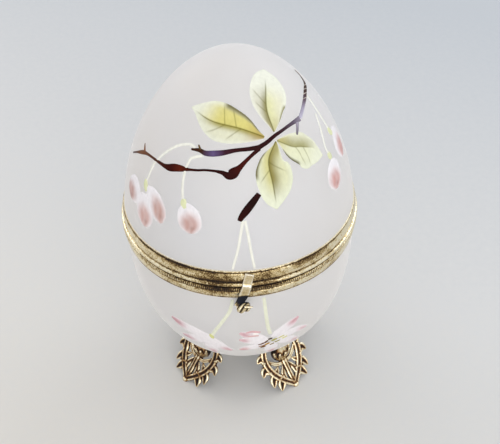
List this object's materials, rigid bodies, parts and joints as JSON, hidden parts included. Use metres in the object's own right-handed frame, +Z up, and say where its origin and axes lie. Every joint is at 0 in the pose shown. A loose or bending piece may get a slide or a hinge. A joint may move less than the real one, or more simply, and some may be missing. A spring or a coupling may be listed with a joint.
{
  "type": "hinged egg-shaped glass trinket box on feet",
  "caption": "Satin glass egg box in gilt brass rims: the hinged upper half lifts by a front strap clasp, and pierced leaf feet hold it upright.",
  "frame": {"origin": "on the egg's axis, at the ground under the feet", "axes": "+Z up along the egg's axis, -Y to the front where the clasp is, +Y to the back where the hinge is"},
  "size_m": [0.0862, 0.095, 0.1407],
  "materials": {
    "satin_glass": "acid-etched satin, painted with a blossom branch",
    "pale_gilt": "worn pale gilding with brown patina",
    "bright_brass": "rubbed bright brass",
    "antique_gilt": "cast, gilded and darkened in the hollows"
  },
  "bodies": {
    "base": {"base_glass": "satin_glass", "base_rim": "pale_gilt", "hinge_leaf_base": "pale_gilt", "hinge_pin": "bright_brass", "foot_front_left": "antique_gilt", "foot_front_right": "antique_gilt", "foot_back_right": "antique_gilt", "foot_back_left": "antique_gilt"},
    "lid": {"lid_glass": "satin_glass", "lid_rim": "pale_gilt", "clasp": "bright_brass", "hinge_leaf_lid": "pale_gilt"}
  },
  "joints": [
    {"name": "lid_hinge", "type": "hinge", "parent": "base", "child": "lid", "pos_m": [0, 0.0459, 0.0762], "axis": [-1, 0, 0], "range_deg": [0, 100]}
  ]
}
